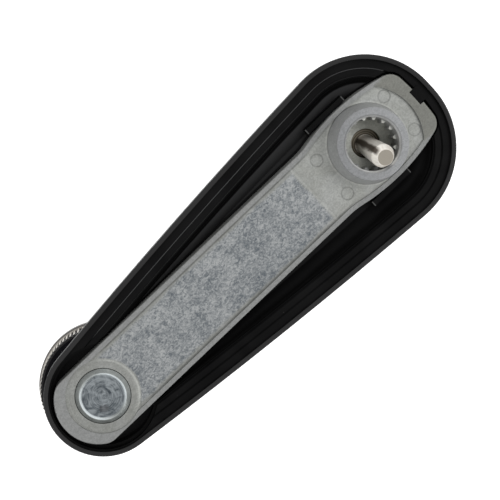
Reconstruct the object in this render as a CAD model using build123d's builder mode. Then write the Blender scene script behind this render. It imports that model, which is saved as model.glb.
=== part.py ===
from build123d import *
from math import atan2, cos, degrees, hypot, radians, sin, sqrt, tan
import os

# Crank handle: a die-cast arm with a splined hub, a moulded cover and a turning knob.
# The origin is on the hub axis, in the plane of the hub's mating face. +X runs along the
# arm to the knob axis, and +Z points out of the splined socket, at the handle's back.

# ---- arm (mm) ----
crank_radius = 96.5
arm_width = 21.1
arm_thickness = 6.1
arm_end_radius = 11.85
arm_end_reach = 13.3
arm_end_corner = 5.0
rim_drop = 8.0
rim_width = 1.3
rim_height = 0.7
rim_edge_radius = 0.35

# ---- arm's hub head ----
head_half_width = 12.15
head_side_radius = 58.0
head_shift = 0.3
head_blend_radius = 18.0
nose_reach = 18.4
nose_radius = 67.0
nose_corner = 4.0
nose_block_radius = 15.1
notch_width = 4.5
notch_depth = 1.2
ejector_radius = 1.65
ejector_depth = 0.12
ejector_spacing_x = 24.5
ejector_spacing_y = 12.0
ejector_shift = 0.55

# ---- splined socket ----
socket_radius = 7.0
socket_depth = 11.0
socket_lead_in = 4.4
socket_chamfer = 0.65
tooth_count = 16
tooth_height = 0.75
tooth_root_width = 1.35
tooth_tip_width = 0.45
tooth_phase = 16.5
boss_wall = 2.4
boss_slope = 1.45
socket_floor = 1.6
pin_hole_radius = 3.95

# ---- centre pin ----
pin_tip_radius = 3.1
pin_root_radius = 2.6
pin_proud = 3.1
pin_tip_chamfer = 0.95
pin_tip_taper = 2.2
pin_collar_radius = 2.75
pin_collar_height = 0.35
pin_head_radius = 5.0
pin_head_thickness = 1.2
pin_lean = 14.2
pin_lean_heading = 86.0
pin_offset = 0.7
pin_head_clearance = 0.12
pin_head_side_clearance = 0.45
pin_recess_clearance = 0.9
boss_front_depth = 16.5
boss_front_wall = 3.6

# ---- knob spindle ----
spindle_head_radius = 7.3
spindle_head_edge = 0.5
spindle_seat_clearance = 0.2
spindle_head_thickness = 2.2
spindle_face_radius = 6.0
spindle_face_dish = 0.35
spindle_lip = 0.35
pad_radius = 8.9
pad_slope = 1.0
pad_depth = 0.25
spindle_shank_radius = 5.0
spindle_collar_radius = 6.6
spindle_collar_height = 1.0
journal_radius = 4.0
spindle_tip_radius = 3.0
stake_radius = 3.8
stake_height = 1.0

# ---- cover ----
cover_end_radius = 15.9
cover_corner_radius = 23.0
cover_corner_x = 0.35
cover_corner_y = 1.25
cover_side_radius = 1585.0
cover_shift = 0.4
cover_skirt = 3.1
cover_skirt_edge = 0.8
cover_draft = 7.0
cover_wall = 2.1
front_edge_radius = 1.6
front_bend_margin = 2.0
land_width = 1.25
land_edge_radius = 0.3
ledge_depth = 1.1
ledge_one = 3.4
ledge_step = 0.5
ledge_slope = 0.4
ledge_two = 5.35
groove_inset = 5.9
groove_width = 0.6
groove_depth = 0.6
pan_slope_depth = 4.4
pan_hub_inset = 11.0
pan_end_inset = 8.0
pocket_wall = 2.5
pocket_mouth_wall = 1.7
arm_clearance = 0.7
floor_clearance = 0.1
well_clearance = 1.0
well_floor_clearance = 0.3
clip_length = 13.1
clip_centre = 3.0
clip_thickness = 1.4
clip_drop = 2.0
clip_clearance = 0.25
tab_clearance = 0.15
tab_drop = 0.8
spindle_hole_clearance = 0.5

# ---- knob ----
knob_gap = 0.6
grip_radius = 17.15
grip_wall = 0.85
grip_height = 6.0
grip_chamfer = 0.35
flute_count = 90
flute_radius = 0.45
flute_offset = 0.05
lip_radius = 17.75
lip_height = 2.6
lip_round = 0.5
crown_height = 5.2
crown_flat_radius = 8.0
cap_wall = 1.3
spigot_radius = 12.9
spigot_height = 3.4
bush_wall = 2.0
bush_clearance = 0.05
bush_end_play = 0.15
washer_thickness = 1.0
washer_radius = 7.2
washer_recess_clearance = 0.8
spring_washer_radius = 8.5
spring_washer_bore = 4.6
spring_washer_thickness = 0.35
spring_washer_play = 0.05

# ---- levels, measured from the hub's mating face ----
rim_z = -rim_drop
floor_z = rim_z - rim_height
pad_z = floor_z - pad_depth
arm_front_z = rim_z - arm_thickness
socket_floor_z = -socket_depth
pin_recess_z = socket_floor_z - socket_floor
boss_front_z = -boss_front_depth
ledge_z = rim_z - ledge_depth
ledge_two_z = ledge_z - ledge_step
pan_z = ledge_two_z - ledge_step
collar_z = arm_front_z - spindle_collar_height
cover_floor_z = collar_z - floor_clearance
cover_front_z = cover_floor_z - cover_wall
knob_back_z = cover_front_z - knob_gap
lip_z = knob_back_z - grip_height
bush_front_z = lip_z - spigot_height + washer_thickness + bush_end_play
washer_z = bush_front_z - bush_end_play
stake_z = washer_z - washer_thickness

# ---- sizes that follow from the ones above ----
arm_end_centre = crank_radius + arm_end_reach - arm_end_radius
boss_radius = socket_radius + boss_wall
spindle_seat_radius = spindle_head_radius + spindle_seat_clearance
core_radius = grip_radius - grip_wall
bush_bore = journal_radius + bush_clearance
bush_radius = bush_bore + bush_wall
boss_front_radius = pin_head_radius + pin_head_side_clearance + boss_front_wall

knob_axis = Axis((crank_radius, 0, 0), (0, 0, 1))
knob_section = Plane(origin=(crank_radius, 0, 0), x_dir=(1, 0, 0), z_dir=(0, -1, 0))


def draw_teardrop(hub_inset, end_inset, mode=Mode.ADD):
    """Draw the cover's outline, set in at its wide and narrow ends, into the sketch.

    Each half is a small end arc, a nearly straight side arc and a corner arc, all tangent,
    and the two corner arcs are joined by a short straight nose. The outline's middle line
    lies cover_shift to one side of the arm's.
    """
    corner_radius = cover_corner_radius - hub_inset
    end_radius = cover_end_radius - end_inset
    side_radius = cover_side_radius - hub_inset
    to_corner = side_radius - corner_radius
    to_end = side_radius - end_radius
    run_x = crank_radius - cover_corner_x
    run_y = -cover_corner_y
    run = hypot(run_x, run_y)
    along = (to_corner**2 - to_end**2 + run**2) / (2 * run)
    down = sqrt(to_corner**2 - along**2)
    side_x = cover_corner_x + (along * run_x + down * run_y) / run
    side_y = cover_corner_y + (along * run_y - down * run_x) / run
    end_turn = degrees(atan2(-side_y, crank_radius - side_x))
    corner_turn = degrees(atan2(cover_corner_y - side_y, cover_corner_x - side_x))
    nose_x = cover_corner_x - corner_radius
    corner_middle_y = cover_shift + cover_corner_y
    with BuildLine() as outline:
        CenterArc((crank_radius, cover_shift), end_radius, 0, end_turn)
        side_middle = (side_x, cover_shift + side_y)
        CenterArc(side_middle, side_radius, end_turn, corner_turn - end_turn)
        corner_middle = (cover_corner_x, corner_middle_y)
        CenterArc(corner_middle, corner_radius, corner_turn, 180 - corner_turn)
        Line((nose_x, corner_middle_y), (nose_x, cover_shift))
        mirror(about=Plane.XZ.offset(-cover_shift))
    make_face(outline.edges(), mode=mode)


# ---- arm: zinc casting ----
with BuildSketch() as arm_end:
    with Locations((arm_end_centre, 0)):
        Circle(arm_end_radius)
        Rectangle(2 * arm_end_radius, arm_width, mode=Mode.INTERSECT)

with BuildSketch() as arm_outline:
    with Locations((head_shift, head_half_width - head_side_radius)):
        Circle(head_side_radius)
    with Locations((head_shift, head_side_radius - head_half_width)):
        Circle(head_side_radius, mode=Mode.INTERSECT)
    with Locations((nose_radius - nose_reach, 0)):
        Circle(nose_radius, mode=Mode.INTERSECT)
    with Locations((arm_end_centre / 2, 0)):
        Rectangle(arm_end_centre, arm_width)
    add(arm_end.sketch)
    fillet(arm_outline.vertices().group_by(Axis.X)[0], nose_corner)
    fillet(arm_outline.vertices().group_by(Axis.X)[-1], arm_end_corner)
    fillet(arm_outline.vertices().group_by(Axis.X)[2], head_blend_radius)

with BuildSketch() as panel_outline:
    offset(arm_outline.sketch, amount=-rim_width)

with BuildPart() as arm:
    with BuildSketch(Plane.XY.offset(arm_front_z)):
        add(arm_outline.sketch)
    extrude(amount=arm_thickness)
    fillet(arm.faces().sort_by(Axis.Z)[-1].outer_wire().edges(), rim_edge_radius)
    # sunk floor between the rims, closed at the nose by a block concentric with the hub
    with BuildSketch(Plane.XY.offset(rim_z)):
        Circle(nose_block_radius)
        with Locations((crank_radius / 2, 0)):
            Rectangle(crank_radius, arm_width)
        add(panel_outline.sketch, mode=Mode.INTERSECT)
    extrude(amount=-rim_height, mode=Mode.SUBTRACT)
    # round seat for the spindle head
    with BuildSketch(knob_section):
        with BuildLine():
            Polyline(
                (0, pad_z),
                (pad_radius, pad_z),
                (pad_radius + pad_slope, floor_z),
                (pad_radius + pad_slope, rim_z + rim_height),
                (0, rim_z + rim_height),
                close=True,
            )
        make_face()
    revolve(axis=knob_axis, mode=Mode.SUBTRACT)
    # hub boss on the back, with its sloped foot
    with BuildSketch(Plane.XZ):
        with BuildLine():
            Polyline(
                (0, boss_front_z),
                (0, 0),
                (boss_radius, 0),
                (boss_radius + boss_slope, floor_z),
                (boss_radius + boss_slope, arm_front_z),
                (boss_front_radius, arm_front_z),
                (boss_front_radius, boss_front_z),
                close=True,
            )
        make_face()
    revolve(axis=Axis.Z)
    # socket: plain lead-in with a chamfered mouth, then the toothed bore
    with BuildSketch(Plane.XZ):
        with BuildLine():
            Polyline(
                (0, -socket_lead_in),
                (socket_radius, -socket_lead_in),
                (socket_radius, -socket_chamfer),
                (socket_radius + socket_chamfer, 0),
                (0, 0),
                close=True,
            )
        make_face()
    revolve(axis=Axis.Z, mode=Mode.SUBTRACT)
    with BuildSketch(Plane.XY.offset(-socket_lead_in)):
        Circle(socket_radius)
        with PolarLocations(0, tooth_count, start_angle=tooth_phase):
            Polygon(
                (socket_radius + tooth_height, -tooth_root_width / 2),
                (socket_radius + tooth_height, tooth_root_width / 2),
                (socket_radius, tooth_root_width / 2),
                (socket_radius - tooth_height, tooth_tip_width / 2),
                (socket_radius - tooth_height, -tooth_tip_width / 2),
                (socket_radius, -tooth_root_width / 2),
                align=None,
                mode=Mode.SUBTRACT,
            )
    extrude(amount=socket_lead_in - socket_depth, mode=Mode.SUBTRACT)
    # hole for the pin's shank, and the recess for its head
    with BuildSketch(Plane.XY.offset(socket_floor_z)):
        Circle(pin_hole_radius)
    extrude(amount=-socket_floor, mode=Mode.SUBTRACT)
    with BuildSketch(Plane.XY.offset(pin_recess_z)):
        Circle(pin_head_radius + pin_recess_clearance)
    extrude(amount=boss_front_z - pin_recess_z, mode=Mode.SUBTRACT)
    # stepped hole for the knob spindle
    with Locations((crank_radius, 0, pad_z)):
        CounterBoreHole(spindle_shank_radius, spindle_seat_radius, spindle_head_thickness)
    # notch for the cover's nose tab
    with BuildSketch(Plane.XY.offset(arm_front_z)):
        with Locations((-nose_reach, 0)):
            Rectangle(2 * notch_depth, notch_width)
    extrude(amount=arm_thickness, mode=Mode.SUBTRACT)
    # ejector marks on the floor of the head
    with BuildSketch(Plane.XY.offset(floor_z)):
        with Locations((ejector_shift, 0)):
            with GridLocations(ejector_spacing_x, ejector_spacing_y, 2, 2):
                Circle(ejector_radius)
    extrude(amount=-ejector_depth, mode=Mode.SUBTRACT)
arm.part.label = "arm"

# ---- centre pin: turned steel, leaning in its hole ----
lean = radians(pin_lean)
heading = radians(pin_lean_heading)
pin_direction = Vector(sin(lean) * cos(heading), sin(lean) * sin(heading), cos(lean))
pin_foot = Vector(pin_offset * cos(heading), pin_offset * sin(heading), pin_recess_z)
pin_section = Plane(
    origin=pin_foot,
    x_dir=(-sin(heading), cos(heading), 0),
    z_dir=Vector(-sin(heading), cos(heading), 0).cross(pin_direction),
)
pin_head_top = -(pin_head_radius + pin_offset) * tan(lean) - pin_head_clearance
pin_top = (pin_proud - pin_recess_z) / cos(lean) - pin_tip_radius * tan(lean)
with BuildPart() as centre_pin:
    with BuildSketch(pin_section):
        with BuildLine():
            Polyline(
                (0, pin_head_top - pin_head_thickness),
                (pin_head_radius, pin_head_top - pin_head_thickness),
                (pin_head_radius, pin_head_top),
                (pin_collar_radius, pin_head_top),
                (pin_collar_radius, pin_head_top + pin_collar_height),
                (pin_root_radius, pin_head_top + pin_collar_height),
                (pin_tip_radius, pin_top - pin_tip_taper),
                (pin_tip_radius - pin_tip_chamfer, pin_top),
                (0, pin_top),
                close=True,
            )
        make_face()
    revolve(axis=Axis(pin_foot, pin_direction))
centre_pin.part.label = "centre_pin"

# ---- knob spindle: turned steel, head formed in the arm's seat, far end staked ----
with BuildPart() as knob_spindle:
    head_front = pad_z - spindle_head_thickness
    lip_top = pad_z + spindle_head_edge + spindle_lip
    with BuildSketch(knob_section):
        with BuildLine():
            Polyline(
                (0, lip_top - spindle_face_dish),
                (spindle_face_radius - spindle_face_dish, lip_top - spindle_face_dish),
                (spindle_face_radius, lip_top),
                (spindle_face_radius + spindle_lip, lip_top),
                (spindle_head_radius, pad_z),
                (spindle_head_radius, head_front),
                (spindle_shank_radius, head_front),
                (spindle_shank_radius, arm_front_z),
                (spindle_collar_radius, arm_front_z),
                (spindle_collar_radius, collar_z),
                (journal_radius, collar_z),
                (journal_radius, washer_z),
                (spindle_tip_radius, washer_z),
                (spindle_tip_radius, stake_z),
                (stake_radius, stake_z),
                (spindle_tip_radius, stake_z - stake_height),
                (0, stake_z - stake_height),
                close=True,
            )
        make_face()
    revolve(axis=knob_axis)
knob_spindle.part.label = "knob_spindle"

# ---- cover: one moulding, open towards the back ----
with BuildSketch() as channel_outline:
    offset(arm_outline.sketch, amount=arm_clearance)

well_radius = boss_front_radius + well_clearance
pin_head_foot = (pin_head_top - pin_head_thickness) * cos(lean) - pin_head_radius * sin(lean)
well_z = min(boss_front_z, pin_recess_z + pin_head_foot) - well_floor_clearance
hub_front_z = well_z - cover_wall
bend_start = well_radius + front_bend_margin
bend_end = crank_radius - lip_radius - front_bend_margin
bend_middle = (bend_start + bend_end) / 2
pan_inset = groove_inset + groove_width
brim_z = rim_z - cover_skirt
draft_height = brim_z - hub_front_z + cover_wall
draft_inset = cover_skirt_edge + draft_height * tan(radians(cover_draft))
cover_nose = cover_corner_x - cover_corner_radius
cover_end = crank_radius + cover_end_radius

with BuildPart() as front_block:
    # side view of the body: level at the hub, an easy double bend, then level at the knob
    with BuildSketch(Plane.XZ):
        with BuildLine():
            level = Line((cover_nose, hub_front_z), (bend_start, hub_front_z))
            halfway = (bend_middle, (hub_front_z + cover_front_z) / 2)
            bend = TangentArc(level @ 1, halfway, tangent=level % 1)
            back = TangentArc(halfway, (bend_end, cover_front_z), tangent=bend % 1)
            Polyline(back @ 1, (cover_end, cover_front_z), (cover_end, 0), (cover_nose, 0), level @ 0)
        make_face()
    extrude(amount=cover_corner_radius + cover_corner_y + cover_shift, both=True)

with BuildPart() as hollow:
    # space under the arm, following the front one wall thickness inside it
    with BuildSketch(Plane.XZ):
        with BuildLine():
            level = Line((-well_radius, well_z), (bend_start, well_z))
            halfway = (bend_middle, (well_z + cover_floor_z) / 2)
            bend = TangentArc(level @ 1, halfway, tangent=level % 1)
            back = TangentArc(halfway, (bend_end, cover_floor_z), tangent=bend % 1)
            Polyline(back @ 1, (bend_end, ledge_z), (-well_radius, ledge_z), level @ 0)
        make_face()
    extrude(amount=well_radius, both=True)
    with BuildSketch(Plane.XY.offset(well_z)):
        Circle(well_radius)
        with Locations((bend_end / 2, 0)):
            Rectangle(bend_end, 2 * well_radius)
    extrude(amount=ledge_z - well_z, mode=Mode.INTERSECT)

with BuildPart() as cover:
    # drafted body, cut to its side view
    with BuildSketch(Plane.XY.offset(brim_z)):
        draw_teardrop(cover_skirt_edge, cover_skirt_edge)
    with BuildSketch(Plane.XY.offset(brim_z - draft_height)):
        draw_teardrop(draft_inset, draft_inset)
    loft(ruled=True)
    add(front_block.part, mode=Mode.INTERSECT)
    front = cover.faces().filter_by(lambda face: face.normal_at().Z < -0.5)
    fillet(front.edges().filter_by(Axis.Y, reverse=True), front_edge_radius)
    # skirt round the open back
    with BuildSketch(Plane.XY.offset(rim_z)):
        draw_teardrop(0, 0)
    extrude(amount=-cover_skirt)
    fillet(cover.faces().sort_by(Axis.Z)[-1].outer_wire().edges(), land_edge_radius)
    # stepped ledges inside the rim
    with BuildSketch(Plane.XY.offset(rim_z)):
        draw_teardrop(land_width, land_width)
    extrude(amount=-ledge_depth, mode=Mode.SUBTRACT)
    with BuildSketch(Plane.XY.offset(ledge_z)):
        draw_teardrop(ledge_one, ledge_one)
    with BuildSketch(Plane.XY.offset(ledge_two_z)):
        draw_teardrop(ledge_one + ledge_slope, ledge_one + ledge_slope)
    loft(ruled=True, mode=Mode.SUBTRACT)
    with BuildSketch(Plane.XY.offset(ledge_two_z)):
        draw_teardrop(ledge_two, ledge_two)
    with BuildSketch(Plane.XY.offset(pan_z)):
        draw_teardrop(ledge_two + ledge_slope, ledge_two + ledge_slope)
    loft(ruled=True, mode=Mode.SUBTRACT)
    with BuildSketch(Plane.XY.offset(pan_z)):
        draw_teardrop(groove_inset, groove_inset)
        draw_teardrop(pan_inset, pan_inset, mode=Mode.SUBTRACT)
    extrude(amount=-groove_depth, mode=Mode.SUBTRACT)
    # pan inside the groove, the arm's channel, the round pocket and the space below the arm
    with BuildSketch(Plane.XY.offset(pan_z)):
        draw_teardrop(pan_inset, pan_inset)
    with BuildSketch(Plane.XY.offset(pan_z - pan_slope_depth)):
        draw_teardrop(pan_hub_inset, pan_end_inset)
    loft(ruled=True, mode=Mode.SUBTRACT)
    with BuildSketch(Plane.XY.offset(cover_floor_z)):
        add(channel_outline.sketch)
    extrude(amount=ledge_z - cover_floor_z, mode=Mode.SUBTRACT)
    with BuildSketch(Plane.XY.offset(cover_floor_z)):
        with Locations((crank_radius, cover_shift)):
            Circle(cover_end_radius - pocket_wall)
    extrude(amount=ledge_z - cover_floor_z, mode=Mode.SUBTRACT)
    with BuildSketch(Plane.XY.offset(brim_z)):
        with Locations((crank_radius, cover_shift)):
            Circle(cover_end_radius - pocket_mouth_wall)
    extrude(amount=cover_skirt, mode=Mode.SUBTRACT)
    add(hollow.part, mode=Mode.SUBTRACT)
    with Locations((crank_radius, 0, cover_floor_z)):
        Hole(journal_radius + spindle_hole_clearance)
    # clip walls beside the hub head, and the tab in the arm's notch
    with BuildSketch(Plane.XY.offset(cover_floor_z)):
        clip_y = head_half_width + clip_clearance + clip_thickness / 2
        with Locations((clip_centre, clip_y), (clip_centre, -clip_y)):
            Rectangle(clip_length, clip_thickness)
    extrude(amount=rim_z - clip_drop - cover_floor_z)
    with BuildSketch(Plane.XY.offset(cover_floor_z)):
        tab_end = nose_reach - notch_depth + tab_clearance
        tab_root = nose_reach + arm_clearance + cover_wall / 2
        with Locations((-(tab_end + tab_root) / 2, 0)):
            Rectangle(tab_root - tab_end, notch_width - 2 * tab_clearance)
    extrude(amount=rim_z - tab_drop - cover_floor_z)
cover.part.label = "cover"

# ---- knob body: moulded core ----
with BuildPart() as knob_body:
    with BuildSketch(knob_section):
        with BuildLine():
            Polyline(
                (bush_radius, knob_back_z),
                (core_radius, knob_back_z),
                (core_radius, lip_z),
                (spigot_radius, lip_z),
                (spigot_radius, lip_z - spigot_height),
                (washer_radius + washer_recess_clearance, lip_z - spigot_height),
                (washer_radius + washer_recess_clearance, bush_front_z),
                (bush_radius, bush_front_z),
                close=True,
            )
        make_face()
    revolve(axis=knob_axis)
knob_body.part.label = "knob_body"

# ---- knob bush: plain bearing sleeve ----
with BuildPart() as knob_bush:
    with BuildSketch(Plane.XY.offset(bush_front_z)):
        with Locations((crank_radius, 0)):
            Circle(bush_radius)
            Circle(bush_bore, mode=Mode.SUBTRACT)
    extrude(amount=knob_back_z - bush_front_z)
knob_bush.part.label = "knob_bush"

# ---- grip ring: finely fluted metal ring round the knob body ----
with BuildPart() as knob_grip_ring:
    with BuildSketch(Plane.XY.offset(lip_z)):
        with Locations((crank_radius, 0)):
            Circle(grip_radius)
            Circle(core_radius, mode=Mode.SUBTRACT)
            with PolarLocations(grip_radius + flute_offset, flute_count):
                Circle(flute_radius, mode=Mode.SUBTRACT)
    extrude(amount=grip_height)
    with BuildSketch(knob_section):
        with BuildLine():
            Polyline(
                (grip_radius, knob_back_z - grip_chamfer),
                (grip_radius - grip_chamfer, knob_back_z),
                (grip_radius + grip_chamfer, knob_back_z),
                close=True,
            )
        make_face()
    revolve(axis=knob_axis, mode=Mode.SUBTRACT)
knob_grip_ring.part.label = "knob_grip_ring"

# ---- knob cap: turned metal cap with a smooth lip ----
with BuildPart() as knob_cap:
    shoulder_z = lip_z - lip_height
    crown_z = shoulder_z - crown_height
    with BuildSketch(knob_section):
        with BuildLine():
            crown = Line((0, crown_z), (crown_flat_radius, crown_z))
            side = TangentArc(crown @ 1, (lip_radius, shoulder_z), tangent=crown % 1)
            Polyline(
                side @ 1,
                (lip_radius, lip_z - lip_round),
                (lip_radius - lip_round, lip_z),
                (spigot_radius, lip_z),
                (spigot_radius, lip_z - spigot_height - cap_wall),
                (crown_flat_radius, crown_z + cap_wall),
                (0, crown_z + cap_wall),
                (0, crown_z),
            )
        make_face()
    revolve(axis=knob_axis)
knob_cap.part.label = "knob_cap"

# ---- washers on the spindle ----
with BuildPart() as retaining_washer:
    with BuildSketch(Plane.XY.offset(stake_z)):
        with Locations((crank_radius, 0)):
            Circle(washer_radius)
            Circle(spindle_tip_radius, mode=Mode.SUBTRACT)
    extrude(amount=washer_thickness)
retaining_washer.part.label = "retaining_washer"

with BuildPart() as spring_washer:
    dish_z = knob_back_z + spring_washer_play
    with BuildSketch(knob_section):
        with BuildLine():
            Polyline(
                (spring_washer_bore, cover_front_z),
                (spring_washer_bore, cover_front_z - spring_washer_thickness),
                (spring_washer_radius, dish_z),
                (spring_washer_radius, dish_z + spring_washer_thickness),
                close=True,
            )
        make_face()
    revolve(axis=knob_axis)
spring_washer.part.label = "spring_washer"

os.makedirs("parts", exist_ok=True)
pieces = [
    arm,
    cover,
    centre_pin,
    knob_spindle,
    knob_body,
    knob_bush,
    knob_grip_ring,
    knob_cap,
    retaining_washer,
    spring_washer,
]
for piece in pieces:
    export_step(piece.part, f"parts/{piece.part.label}.step")
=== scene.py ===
from math import cos, pi, radians, sin

import bpy
from mathutils import Matrix, Vector


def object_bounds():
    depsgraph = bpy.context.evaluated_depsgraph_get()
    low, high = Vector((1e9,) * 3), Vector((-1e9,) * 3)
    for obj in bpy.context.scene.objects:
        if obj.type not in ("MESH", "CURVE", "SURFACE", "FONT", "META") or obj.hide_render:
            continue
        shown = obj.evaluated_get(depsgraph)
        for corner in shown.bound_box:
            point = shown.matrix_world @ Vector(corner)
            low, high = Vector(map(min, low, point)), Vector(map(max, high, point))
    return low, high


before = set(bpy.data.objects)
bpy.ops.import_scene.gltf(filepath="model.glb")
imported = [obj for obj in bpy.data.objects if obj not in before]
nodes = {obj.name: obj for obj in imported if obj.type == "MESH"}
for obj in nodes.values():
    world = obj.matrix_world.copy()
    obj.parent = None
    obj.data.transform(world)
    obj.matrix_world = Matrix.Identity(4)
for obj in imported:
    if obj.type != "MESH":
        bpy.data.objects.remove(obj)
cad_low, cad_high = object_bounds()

bpy.ops.object.select_all(action="DESELECT")


# ---- Arm ----
# A zinc die casting, left as cast: a dull grey bar with thin rims, a frosty mottled floor
# between them, and at one end the tall round boss with its splined socket.

class Wire:
    """One socket of a material's node tree. Arithmetic on it adds Math nodes."""

    def __init__(self, tree, socket=None):
        self.tree = tree
        self.socket = socket

    def node(self, kind, settings=None, inputs=None, output=0):
        """Add a node: its settings first, then the values or links of its sockets."""
        made = self.tree.nodes.new(kind)
        for name, value in (settings or {}).items():
            setattr(made, name, value)
        for name, value in (inputs or {}).items():
            if isinstance(value, Wire):
                self.tree.links.new(value.socket, made.inputs[name])
            else:
                made.inputs[name].default_value = value
        return Wire(self.tree, made.outputs[output])

    def maths(self, operation, *values):
        sockets = dict(enumerate(values))
        return self.node("ShaderNodeMath", {"operation": operation}, sockets)

    def __add__(self, other):
        return self.maths("ADD", self, other)

    def __radd__(self, other):
        return self.maths("ADD", other, self)

    def __sub__(self, other):
        return self.maths("SUBTRACT", self, other)

    def __rsub__(self, other):
        return self.maths("SUBTRACT", other, self)

    def __mul__(self, other):
        return self.maths("MULTIPLY", self, other)

    def __rmul__(self, other):
        return self.maths("MULTIPLY", other, self)

    def __truediv__(self, other):
        return self.maths("DIVIDE", self, other)

    def __rtruediv__(self, other):
        return self.maths("DIVIDE", other, self)

    def __pow__(self, other):
        return self.maths("POWER", self, other)

    def __abs__(self):
        return self.maths("ABSOLUTE", self)

    def step(self, low, high):
        """0 below low, 1 above high, and smooth between them."""
        ends = {"Value": self, "From Min": low, "From Max": high}
        return self.node("ShaderNodeMapRange", {"interpolation_type": "SMOOTHSTEP"}, ends)

    def ripple(self, pitch):
        """Rises and falls between 0 and 1 once in every pitch."""
        return 0.5 + 0.5 * self.maths("SINE", self * (2 * pi / pitch))

    def line(self, place, width):
        """1 along a thin line at this value, fading to 0 at its edges."""
        return 1 - abs(self - place).step(0.3 * width, width)

    def axes(self):
        """The three parts of this vector."""
        parts = self.node("ShaderNodeSeparateXYZ", None, {0: self}).socket.node.outputs
        return [Wire(self.tree, part) for part in parts]

    def noise(self, size, detail=3.0, distortion=0.0):
        """Noise whose main features are about this many metres across."""
        values = {"Vector": self, "Scale": 1 / size, "Detail": detail, "Distortion": distortion}
        return self.node("ShaderNodeTexNoise", None, values)

    def stretch(self, x, y, z):
        """This vector with its parts multiplied."""
        return self.node("ShaderNodeVectorMath", {"operation": "MULTIPLY"}, {0: self, 1: (x, y, z)})

    def blend(self, first, second):
        """Colour first where this mask is 0, and second where it is 1."""
        made = self.node("ShaderNodeMix", {"data_type": "RGBA"}, {0: self}, 2)
        for place, value in ((6, first), (7, second)):
            socket = made.socket.node.inputs[place]
            if isinstance(value, Wire):
                self.tree.links.new(value.socket, socket)
            else:
                socket.default_value = (*value, 1)
        return made

    def shade(self, colour):
        """A colour wire made darker or lighter by this factor."""
        return self.node("ShaderNodeVectorMath", {"operation": "SCALE"}, {0: colour, "Scale": self})

    def bump(self, depth, strength=1.0):
        """A normal from this height, whose full range is this many metres deep."""
        values = {"Height": self, "Distance": depth, "Strength": strength}
        return self.node("ShaderNodeBump", None, values)


def start_material(name, metallic, roughness, specular=0.5):
    """A new Principled material: itself, its shader, and its Object coordinates as a Wire."""
    material = bpy.data.materials.new(name)
    material.use_nodes = True
    shader = material.node_tree.nodes["Principled BSDF"]
    shader.inputs["Metallic"].default_value = metallic
    shader.inputs["Roughness"].default_value = roughness
    shader.inputs["Specular IOR Level"].default_value = specular
    place = Wire(material.node_tree).node("ShaderNodeTexCoord", output=3)
    return material, shader, place


def feed(shader, **wires):
    """Link wires to the shader's sockets, named with _ for a space."""
    for name, wire in wires.items():
        wire.tree.links.new(wire.socket, shader.inputs[name.replace("_", " ")])


def dress(node, material):
    """Give a CAD node this material alone."""
    mesh = nodes[node].data
    mesh.materials.clear()
    mesh.materials.append(material)


rim_level = -0.0080
floor_level = -0.0087
frost_start = 0.0195
knob_axis_x = 0.0965
seat_edge = 0.0099
panel_edge = 0.0091
mark_shift = 0.00055
mark_half_x = 0.01225
mark_half_y = 0.0060
mark_radius = 0.00165
slope_level = -0.0078
boss_level = -0.0004
head_radius = 0.0149
nose_half_width = 0.0095
nose_end_x = -0.002
socket_radius = 0.0066
socket_bottom = -0.0109
lead_in_level = -0.0044
tooth_tip_radius = 0.0058
mouth_radius = 0.0073
boss_foot_radius = 0.0110
gutter_start = 0.012
gutter_end = 0.086

zinc, zinc_shader, zinc_place = start_material("cast_zinc", 0.4, 0.5, 0.4)
x, y, z = zinc_place.axes()
hub_radius = (x * x + y * y) ** 0.5
from_knob = x - knob_axis_x
knob_distance = (from_knob * from_knob + y * y) ** 0.5
crystals = zinc_place.stretch(1.0, 1.3, 1.0).noise(0.0010, 8.0, 1.1)
sparkle = zinc_place.noise(0.00042, 3.0, 0.5)
mottle = (0.6 * crystals + 0.4 * sparkle).step(0.34, 0.66)
patches = zinc_place.noise(0.0055, 3.0, 0.4)
grain = zinc_place.noise(0.0004, 3.0)
clouds = zinc_place.noise(0.008, 4.0, 0.4)
below_rims = 1 - z.step(floor_level, rim_level)
on_floor = below_rims * z.step(floor_level - 0.0004, floor_level - 0.0002)
ragged = x + 0.0012 * (patches - 0.5)
frost = on_floor * ragged.step(frost_start, frost_start + 0.001)
frost = frost * (knob_distance + 0.0008 * (patches - 0.5)).step(seat_edge, seat_edge + 0.0005)
frayed_side = (abs(y) + 0.002 * (patches - 0.5)).step(panel_edge - 0.0014, panel_edge - 0.0004)
frost = frost * (1 - frayed_side)
smooth_skin = clouds.step(0.35, 0.7).blend((0.232, 0.237, 0.222), (0.268, 0.274, 0.264))
frost_tone = (crystals * 0.52 + patches * 0.24 + sparkle * 0.24).step(0.34, 0.66)
frosted = frost_tone.blend((0.105, 0.122, 0.137), (0.415, 0.426, 0.426))
# Painted light: near the hub the smooth skin is painted up to 30% lighter, making up for the shade the
# boss casts on the floor.
smooth_skin = (1.3 - 0.3 * x.step(0.014, 0.023)).shade(smooth_skin)
skin = frost.blend(smooth_skin, frosted)
on_rims = z.step(floor_level + 0.0002, rim_level - 0.0001)
on_slope = z.step(slope_level, slope_level + 0.0004)
on_boss = z.step(boss_level, boss_level + 0.0002)
past_hub = 1 - x.step(nose_end_x, 0.0)
between_sides = 1 - abs(y).step(nose_half_width, nose_half_width + 0.001)
on_nose = hub_radius.step(head_radius, head_radius + 0.0003) * past_hub * on_rims * between_sides
skin = on_rims.blend(skin, (0.226, 0.23, 0.227))
skin = on_nose.blend(skin, (0.165, 0.167, 0.15))
# Painted light: the boss's sloped side is painted lighter than the zinc on its top, making up for the
# shade it stands in.
skin = on_slope.blend(skin, (0.335, 0.341, 0.338))
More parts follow.
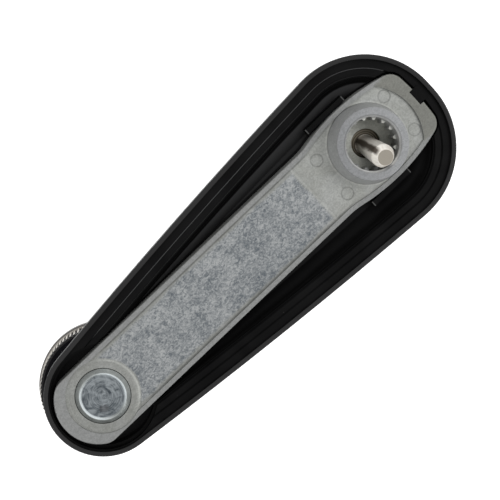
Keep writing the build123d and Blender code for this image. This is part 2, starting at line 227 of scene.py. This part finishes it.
# Painted shade: the top of the boss is painted lighter on its -X, +Y side and darker towards +X, -Y.
ring = (x - 0.5 * y).step(-0.006, 0.010).blend((0.258, 0.264, 0.269), (0.208, 0.213, 0.218))
skin = on_boss.blend(skin, ring)
in_socket = (1 - hub_radius.step(socket_radius, 0.0071)) * (1 - z.step(lead_in_level, -0.0008))
in_bottom = in_socket * (1 - z.step(socket_bottom, socket_bottom + 0.0004))
# Painted light: the socket's floor is painted over twice as light as the zinc round it, lightest on its
# +X side.
socket_floor_painted_light = x.step(-0.005, 0.003).blend((0.38, 0.385, 0.345), (0.62, 0.63, 0.58))
skin = in_bottom.blend(skin, socket_floor_painted_light)
# Painted highlights: bright lines on the ends of the socket's teeth, on its -X side.
tooth_end_highlights = in_socket * z.line(lead_in_level, 0.0002) * (1 - x.step(-0.003, 0.0))
tooth_end_highlights = tooth_end_highlights * hub_radius.step(tooth_tip_radius, tooth_tip_radius + 0.0004)
skin = tooth_end_highlights.blend(skin, (0.85, 0.86, 0.8))
# Painted highlight: a light line along the socket mouth's chamfer on its +X, +Y side.
mouth_edge_highlight = hub_radius.line(mouth_radius, 0.0004) * z.step(-0.0009, -0.0007) * (x + y).step(0.0, 0.006)
# Painted highlight: a light line round the foot of the boss.
boss_foot_highlight = hub_radius.line(boss_foot_radius, 0.0003) * on_floor
mark_x = abs(x - mark_shift) - mark_half_x
mark_y = abs(y) - mark_half_y
mark_distance = (mark_x * mark_x + mark_y * mark_y) ** 0.5
mark_ring = mark_distance.line(mark_radius, 0.0003) * on_floor
along_bar = x.step(gutter_start, gutter_start + 0.004) * (1 - x.step(gutter_end, gutter_end + 0.004))
# Painted shade: a dark line along each side of the floor, next to the rims.
gutter_shade = abs(y).line(panel_edge, 0.0005) * below_rims * along_bar
seam = x.line(frost_start, 0.0004) * on_floor
# Painted highlight: a light arc on the edge of the knob's seat.
seat_slope_highlight = knob_distance.line(seat_edge - 0.0003, 0.0004) * (1 - x.step(0.089, 0.094)) * below_rims
# Painted shade: the socket's inside is painted 10% darker in this tone.
tone = 1 - 0.22 * mark_ring - 0.35 * gutter_shade + 0.14 * seam - 0.1 * in_socket
tone = tone + 0.35 * seat_slope_highlight + 0.2 * boss_foot_highlight + 0.45 * mouth_edge_highlight
tone = tone * (0.95 + 0.1 * grain) * (0.86 + 0.28 * mottle * (1 - frost))
feed(
    zinc_shader,
    Base_Color=tone.shade(skin),
    Roughness=0.44 + 0.12 * crystals * frost + 0.1 * clouds,
    Normal=(crystals * frost + 0.35 * grain + 0.5 * clouds).bump(0.00008, 0.5),
)
dress("arm", zinc)

# ---- Centre pin ----
# Turned and polished steel, loose in the hole at the bottom of the socket. It leans on the socket's
# wall, and its wide head shows through the hole with its turning marks. The shaft's reflections are
# painted into its colour: nearly white steel with one dark streak along it.

pin_lean = radians(14.2)
pin_heading = radians(86.0)
pin_offset = 0.0007
pin_root = Vector((pin_offset * cos(pin_heading), pin_offset * sin(pin_heading), -0.0126))
pin_shoulder = -0.0015
tip_radius = 0.0020

pin_steel, pin_shader, pin_place = start_material("turned_steel", 0.2, 0.26)
upright = pin_place.node(
    "ShaderNodeVectorRotate",
    {"rotation_type": "AXIS_ANGLE"},
    {
        "Vector": pin_place,
        "Center": pin_root,
        "Axis": (-sin(pin_heading), cos(pin_heading), 0),
        "Angle": -pin_lean,
    },
)
upright = upright.node("ShaderNodeVectorMath", {"operation": "SUBTRACT"}, {0: upright, 1: pin_root})
x, y, z = upright.axes()
pin_radius = (x * x + y * y) ** 0.5
draw_marks = upright.stretch(1.0, 1.0, 0.06).noise(0.0006, 4.0, 0.2)
blotches = upright.stretch(1.0, 1.0, 0.35).noise(0.0022, 4.0, 1.2)
on_head = 1 - z.step(pin_shoulder, pin_shoulder + 0.0003)
on_tip = (1 - pin_radius.step(tip_radius, tip_radius + 0.0002)) * z.step(0.0135, 0.014)
drift = x + 0.0011 * (blotches - 0.5)
# Painted reflection: a dark streak down the shaft, which is otherwise painted nearly white.
painted_dark_reflection = (drift + 0.02 * z).line(0.0009, 0.0013) * (1 - z.step(0.0142, 0.0157))
lathe_marks = pin_radius.ripple(0.0006)
polish = (0.55 * draw_marks + 0.45 * blotches).step(0.3, 0.7)
bright = polish.blend((0.78, 0.72, 0.64), (1.0, 0.97, 0.9))
shaft = painted_dark_reflection.blend(bright, (0.06, 0.045, 0.033))
head = lathe_marks.blend((0.14, 0.12, 0.085), (0.4, 0.35, 0.27))
# Painted shade: the tip's end face is painted darker than the shaft.
skin = on_tip.blend(on_head.blend(shaft, head), (0.27, 0.245, 0.205))
feed(
    pin_shader,
    Base_Color=skin,
    Roughness=0.22 + 0.16 * blotches + 0.2 * on_head + 0.12 * on_tip,
    Normal=(draw_marks + 0.6 * lathe_marks * on_head).bump(0.00003, 0.6),
)
dress("centre_pin", pin_steel)

# ---- Knob spindle ----
# Turned steel. Its head is formed in the arm's round seat: a dished face with turning marks inside a
# raised lip painted with a highlight, and a sloped edge that leaves a dark gap to the casting.

dish_radius = 0.00565
lip_radius = 0.0059
arc_rings = 9000
scuff_x = 0.0020
scuff_y = 0.0026

spindle_steel, spindle_shader, spindle_place = start_material("spindle_steel", 0.85, 0.34)
x, y, z = spindle_place.axes()
from_axis = x - knob_axis_x
radius = (from_axis * from_axis + y * y) ** 0.5
smudge = spindle_place.noise(0.002, 4.0, 1.0)
heading = {0: from_axis / radius, 1: y / radius, 2: arc_rings * radius}
around = spindle_place.node("ShaderNodeCombineXYZ", None, heading)
arcs = around.stretch(1.3, 1.3, 0.5).noise(1.0, 3.0, 0.5)
fine_arcs = around.stretch(0.7, 0.7, 1.0).noise(1.0, 2.0)
in_dish = 1 - radius.step(dish_radius - 0.0001, dish_radius + 0.0002)
off_x = from_axis - scuff_x
off_y = y - scuff_y
scuff_distance = (off_x * off_x + off_y * off_y) ** 0.5 + 0.0016 * (smudge - 0.5)
scuff = 1 - scuff_distance.step(0.0007, 0.0014)
dish = (0.35 * arcs + 0.15 * fine_arcs + 0.5 * smudge).step(0.34, 0.66)
dish = dish.blend((0.05, 0.062, 0.072), (0.285, 0.31, 0.325))
# Painted highlight: the lip is painted nearly white, brightest on its ±X sides and faint at ±Y.
lip_highlight_mask = radius.line(lip_radius, 0.0005)
dish = (scuff * 0.6).blend(dish, (0.08, 0.08, 0.085))
slope = smudge.step(0.3, 0.7).blend((0.27, 0.29, 0.285), (0.35, 0.37, 0.36))
lip_highlight_sides = (abs(from_axis) / radius).step(0.1, 0.95)
slope = (lip_highlight_mask * (0.12 + 0.88 * lip_highlight_sides)).blend(slope, (0.82, 0.88, 0.9))
feed(
    spindle_shader,
    Base_Color=in_dish.blend(slope, dish),
    Roughness=0.3 + 0.14 * smudge + 0.1 * in_dish,
    Normal=((arcs + 0.5 * fine_arcs) * in_dish + 0.6 * smudge).bump(0.00004, 0.6),
)
dress("knob_spindle", spindle_steel)

# ---- Cover ----
# One black moulding with a satin skin. The land round its rim is a little lighter than the stepped
# ledges inside it, lightest at its outer edge. The groove at their foot is painted black as shade, the
# step edges and pan on the -Y side carry a painted highlight and a painted sheen, and the clip ends
# painted highlights.

land_level = -0.0080
ledge_level = -0.0091
pan_level = -0.0101
cover_shift = 0.0004
cover_half_width = 0.0242
cover_taper = 0.0865
clip_middle_x = 0.003
clip_half_length = 0.0065
pan_depth_range = 0.006

plastic, plastic_shader, plastic_place = start_material("black_plastic", 0.0, 0.38, 0.07)
x, y, z = plastic_place.axes()
along = x.maths("MAXIMUM", x, 0.0)
along = along.maths("MINIMUM", along, knob_axis_x)
past_end = x - along
across = y - cover_shift
inset = cover_half_width - cover_taper * along - (past_end * past_end + across * across) ** 0.5
inside = inset.step(0.0023, 0.0027)
on_land = z.step(ledge_level + 0.0003, land_level - 0.0003) * (1 - 0.3 * inset.step(0.0006, 0.0026))
in_groove = z.line(pan_level - 0.0005, 0.0006) * inside
film = plastic_place.noise(0.011, 4.0, 0.7)
pits = plastic_place.noise(0.0004, 2.0)
specks = plastic_place.noise(0.0011, 1.0).step(0.81, 0.84)
satin = film.step(0.3, 0.7).blend((0.002, 0.002, 0.0021), (0.0042, 0.0042, 0.0043))
satin = on_land.blend(satin, (0.021, 0.0208, 0.021))
past_clip = abs(x - clip_middle_x).step(clip_half_length + 0.0001, clip_half_length + 0.0003)
at_clip = (1 - past_clip) * y.step(-0.0142, -0.0140)
near_side = inside * (1 - y.step(-0.0112, -0.0108)) * (1 - at_clip) * (1 - x.step(0.084, 0.089))
# Painted highlights: light lines on the ledge steps on the -Y side, inside the hollow.
ledge_edge = z.line(ledge_level - 0.00025, 0.00022)
pan_edge = z.line(pan_level + 0.00025, 0.0002)
step_edge_highlights = (ledge_edge + 0.3 * pan_edge) * near_side
# Painted sheen: on the -Y side the pan is painted lighter near its top, fading with depth.
pan_depth = (pan_level - 0.0010 - z) / pan_depth_range
pan_sheen = (1 - pan_depth.step(0.0, 1.0)) * pan_depth.step(-0.1, 0.0)
pan_sheen = pan_sheen * near_side * (1 - x.step(0.066, 0.082))
satin = (1 - z.step(pan_level - 0.002, pan_level - 0.001)).blend(satin, (0.007, 0.007, 0.0072))
satin = (0.8 * step_edge_highlights).blend(satin, (0.08, 0.08, 0.081))
satin = (0.8 * pan_sheen).blend(satin, (0.045, 0.045, 0.046))
# Painted shade: the groove at the foot of the ledges is painted black.
satin = in_groove.blend(satin, (0.0006, 0.0006, 0.0006))
# Painted highlights: light lines at the ends of the clips.
clip_end_highlights = abs(x - clip_middle_x).line(clip_half_length, 0.0003) * z.line(pan_level, 0.0008)
clip_end_highlights = clip_end_highlights * abs(y).step(0.0122, 0.0125) * (1 - abs(y).step(0.0138, 0.0141))
satin = (clip_end_highlights * 0.4).blend(satin, (0.2, 0.2, 0.198))
satin = (specks * 0.5).blend(satin, (0.12, 0.12, 0.115))
feed(
    plastic_shader,
    Base_Color=satin,
    Roughness=0.36 + 0.1 * film + 0.1 * on_land + 0.3 * in_groove,
    Coat_Weight=0.2 * on_land,
    Normal=(pits + 0.8 * film).bump(0.00003, 0.5),
)
plastic_shader.inputs["Coat Roughness"].default_value = 0.35
dress("cover", plastic)

# ---- Knob ----
# A dark moulded body inside a finely fluted metal ring, closed by a turned cap with a smooth lip. The
# flutes' floors are painted nearly black as shade, and a plain bush runs on the spindle.

flute_floor = 0.0168
ring_radius = 0.01715

knob_metal, knob_shader, knob_place = start_material("satin_metal", 0.8, 0.36)
x, y, z = knob_place.axes()
from_axis = x - knob_axis_x
radius = (from_axis * from_axis + y * y) ** 0.5
turning = knob_place.stretch(0.15, 0.15, 1.0).noise(0.0005, 3.0)
crown_rings = radius.ripple(0.0004)
wear = knob_place.noise(0.006, 4.0, 0.5)
on_ring = z.step(-0.0240, -0.0238)
in_flutes = on_ring * (1 - radius.step(flute_floor + 0.0001, ring_radius))
metal = (0.5 * wear + 0.5 * turning).step(0.25, 0.75).blend((0.62, 0.59, 0.54), (0.85, 0.82, 0.76))
lip = radius.step(0.0171, 0.0176).blend((0.4, 0.375, 0.34), (0.1, 0.095, 0.09))
metal = on_ring.blend(lip, metal)
# Painted shade: the flutes' floors are painted nearly black.
metal = (0.97 * in_flutes).blend(metal, (0.008, 0.008, 0.01))
feed(
    knob_shader,
    Base_Color=metal,
    Roughness=0.32 + 0.14 * wear + 0.25 * in_flutes,
    Normal=(turning + 0.3 * crown_rings * (1 - on_ring)).bump(0.00002, 0.5),
)
dress("knob_grip_ring", knob_metal)
dress("knob_cap", knob_metal)

body_plastic, body_shader, body_place = start_material("grey_plastic", 0.0, 0.5, 0.08)
film = body_place.noise(0.006, 4.0, 0.5)
pits = body_place.noise(0.0004, 2.0)
feed(
    body_shader,
    Base_Color=film.step(0.3, 0.7).blend((0.0012, 0.0012, 0.002), (0.0025, 0.0026, 0.004)),
    Roughness=0.42 + 0.16 * film,
    Normal=(pits + film).bump(0.00003, 0.5),
)
dress("knob_body", body_plastic)

brass, brass_shader, brass_place = start_material("bearing_brass", 1.0, 0.35)
tarnish = brass_place.noise(0.002, 4.0, 0.6)
feed(
    brass_shader,
    Base_Color=tarnish.step(0.3, 0.7).blend((0.45, 0.32, 0.15), (0.68, 0.52, 0.28)),
    Roughness=0.3 + 0.2 * tarnish,
    Normal=brass_place.stretch(0.1, 0.1, 1.0).noise(0.0004, 3.0).bump(0.00002, 0.5),
)
dress("knob_bush", brass)

# ---- Washers ----
# Plain stamped steel: a flat washer held by the staked end, and a dished spring washer
# between the cover and the knob.

stamped_steel, stamped_shader, stamped_place = start_material("stamped_steel", 1.0, 0.4)
rolling = stamped_place.stretch(1.0, 0.08, 1.0).noise(0.0004, 3.0)
stain = stamped_place.noise(0.003, 4.0, 0.5)
feed(
    stamped_shader,
    Base_Color=stain.step(0.3, 0.7).blend((0.42, 0.42, 0.41), (0.58, 0.58, 0.57)),
    Roughness=0.34 + 0.16 * stain,
    Normal=(rolling + 0.5 * stain).bump(0.00002, 0.5),
)
dress("retaining_washer", stamped_steel)
dress("spring_washer", stamped_steel)

# ---- Floor ----
# White studio paper just under the knob's crown. It glows for the camera, so that it reads as
# white, and still takes the handle's soft shadow.

paper_glow = 0.66

bpy.ops.mesh.primitive_plane_add(size=4.0, location=(0.045, 0, cad_low.z - 0.0002))
floor = bpy.context.active_object
floor.name = "floor"
bpy.ops.object.transform_apply(location=True)
paper, paper_shader, paper_place = start_material("floor_paper", 0.0, 0.9, 0.0)
rays = paper_place.node("ShaderNodeLightPath")
mirrored = Wire(rays.tree, rays.socket.node.outputs["Is Glossy Ray"])
through = Wire(rays.tree, rays.socket.node.outputs["Is Transmission Ray"])
lit = (rays + mirrored + through).step(0.2, 0.8)
fibre = paper_place.noise(0.002, 3.0)
feed(
    paper_shader,
    Base_Color=fibre.step(0.2, 0.8).blend((0.8, 0.8, 0.8), (0.83, 0.83, 0.83)),
    Emission_Color=lit.blend((0, 0, 0), (1, 1, 1)),
)
paper_shader.inputs["Emission Strength"].default_value = paper_glow
floor.data.materials.append(paper)

# ---- Lamps ----
# Even white light from all round, with four square soft boxes: a low one on the arm's +Y side, two high
# ones past the hub, and one over the knob's end. The light streaks on the cover's steps are painted.

air_strength = 0.62
low_power = 0.8
high_power = 2.0
side_power = 1.4
rear_power = 1.0
box_size = 0.4
rear_size = 0.25

air = bpy.data.worlds.new("studio_air")
bpy.context.scene.world = air
air.use_nodes = True
air_tree = air.node_tree
near = air_tree.nodes["Background"]
near.inputs["Strength"].default_value = air_strength
near.inputs["Color"].default_value = (1, 1, 1, 1)
sky = Wire(air_tree)
backdrop = sky.node("ShaderNodeBackground", None, {"Color": (1, 1, 1, 1), "Strength": 1.0})
seen = sky.node("ShaderNodeLightPath")
shaders = {0: seen, 1: Wire(air_tree, near.outputs[0]), 2: backdrop}
both = sky.node("ShaderNodeMixShader", None, shaders)
air_tree.links.new(both.socket, air_tree.nodes["World Output"].inputs["Surface"])


def add_lamp(name, place, side, power):
    """A square soft lamp that looks at the middle of the handle."""
    light = bpy.data.lights.new(name, "AREA")
    light.size = side
    light.energy = power
    lamp = bpy.data.objects.new(name, light)
    bpy.context.scene.collection.objects.link(lamp)
    lamp.location = place
    away = Vector((0.04, 0, 0)) - Vector(place)
    lamp.rotation_euler = away.to_track_quat("-Z", "Y").to_euler()


add_lamp("low_box", (0.05, 0.65, 0.2), box_size, low_power)
add_lamp("high_box", (-0.42, 0.22, 0.62), box_size, high_power)
add_lamp("side_box", (0.52, -0.14, 0.48), box_size, side_power)
add_lamp("rear_box", (-0.33, -0.34, 0.52), rear_size, rear_power)

# ---- Camera ----
# Above the handle's back, leaning a little towards its -Y side and rolled so that the hub is
# at the upper right.

camera_aim = Vector((0.0418, -0.0012, -0.0078))
camera_distance = 0.35
camera_tilt = radians(7.22)
camera_roll = radians(223.7)
camera_lens = 95.76
camera_sensor = 36

camera_back = Vector((0, -sin(camera_tilt), cos(camera_tilt)))
camera_side = Vector((1, 0, 0))
camera_cross = camera_back.cross(camera_side)
camera_right = camera_side * cos(camera_roll) - camera_cross * sin(camera_roll)
camera_up = camera_side * sin(camera_roll) + camera_cross * cos(camera_roll)
camera_data = bpy.data.cameras.new("camera")
camera_data.lens = camera_lens
camera_data.sensor_width = camera_sensor
camera_data.clip_start = 0.01
camera = bpy.data.objects.new("camera", camera_data)
bpy.context.scene.collection.objects.link(camera)
turn = Matrix((camera_right, camera_up, camera_back)).transposed()
camera.matrix_world = Matrix.Translation(camera_aim + camera_back * camera_distance) @ turn.to_4x4()
bpy.context.scene.camera = camera
bpy.context.scene.view_settings.view_transform = "Standard"
